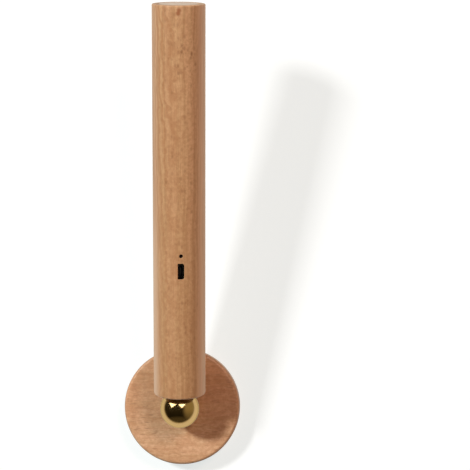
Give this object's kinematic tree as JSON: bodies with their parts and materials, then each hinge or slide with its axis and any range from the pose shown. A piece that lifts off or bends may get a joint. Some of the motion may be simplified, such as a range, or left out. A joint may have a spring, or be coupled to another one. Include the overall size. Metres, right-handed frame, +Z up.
{
  "type": "wooden night light",
  "caption": "Round beech rod with a rechargeable light strip in its back, held by a magnet on a gold ball that turns in a seat on a round beech wall plate.",
  "frame": {"origin": "centre of the adhesive pad's back face, where the wall plate meets the wall", "axes": "+Z up along the wall, +Y into the wall, -Y out into the room, +X to the right seen from the room"},
  "size_m": [0.075, 0.1021, 0.293],
  "materials": {
    "plate_beech": "satin oiled beech, grain across",
    "rod_beech": "satin oiled beech, grain along the rod",
    "cap_wood": "pale matt end disc",
    "gold": "polished gold plating on steel",
    "seat_brass": "satin gold plating",
    "brass": "turned brass",
    "adhesive": "foam pad with adhesive",
    "magnet": "nickel plated magnet",
    "steel": "zinc plated steel",
    "opal_plastic": "opal light cover",
    "tray_aluminium": "extruded aluminium",
    "white_board": "white solder mask",
    "led_yellow": "phosphor in a white case",
    "black_plastic": "moulded black plastic",
    "green_board": "green solder mask",
    "ivory_plastic": "moulded plastic",
    "socket_metal": "plated sheet steel",
    "contact_gold": "gold plated contacts",
    "clear_plastic": "clear resin",
    "smoked_plastic": "smoked clear plastic",
    "coil_grey": "ferrite",
    "tan_plastic": "fired ceramic",
    "battery_can": "nickel plated can",
    "blue_sleeve": "shrink sleeve",
    "tab_nickel": "nickel strip",
    "foam_tape": "foam tape",
    "red_wire": "insulated wire",
    "black_wire": "insulated wire",
    "orange_wire": "insulated wire",
    "copper": "copper foil"
  },
  "bodies": {
    "base": {"base_disc": "plate_beech", "adhesive_pad": "adhesive", "base_magnet": "magnet", "keeper_plate": "steel", "keeper_screws": "steel"},
    "seat": {"ball_seat": "seat_brass"},
    "ball": {"ball": "gold"},
    "magnet_head": {"rod_magnet": "magnet", "magnet_screw": "steel"},
    "rod": {"rod_shell": "rod_beech", "insert_nut": "brass", "light_cover": "opal_plastic", "led_tray": "tray_aluminium", "tray_screws": "steel", "led_board": "white_board", "led_chips": "led_yellow", "led_resistors": "black_plastic", "control_board": "green_board", "board_clips": "ivory_plastic", "socket_shell": "socket_metal", "socket_tongue": "black_plastic", "socket_contacts": "contact_gold", "charge_light": "clear_plastic", "light_pipe": "smoked_plastic", "charge_chip": "black_plastic", "touch_chip": "black_plastic", "driver_coil": "coil_grey", "board_capacitors": "tan_plastic", "battery_cell": "battery_can", "battery_sleeve": "blue_sleeve", "battery_ring": "white_board", "battery_tabs": "tab_nickel", "battery_tape": "foam_tape", "battery_lead_red": "red_wire", "battery_lead_black": "black_wire", "led_leads": "red_wire", "touch_lead": "orange_wire", "touch_electrode": "copper", "touch_cap": "cap_wood"}
  },
  "joints": [
    {"name": "swivel", "type": "hinge", "parent": "base", "child": "seat", "pos_m": [0, -0.028, 0], "axis": [0, 1, 0], "continuous": true},
    {"name": "tilt", "type": "hinge", "parent": "seat", "child": "ball", "pos_m": [0, -0.028, 0], "axis": [1, 0, 0], "range_deg": [-4, 158]},
    {"name": "rod_pull_off", "type": "slide", "parent": "ball", "child": "magnet_head", "axis": [0, -0.225, 0.9744], "range_m": [0, 0.04]},
    {"name": "spin", "type": "hinge", "parent": "magnet_head", "child": "rod", "pos_m": [0, -0.028, 0], "axis": [0, -0.225, 0.9744], "continuous": true}
  ]
}
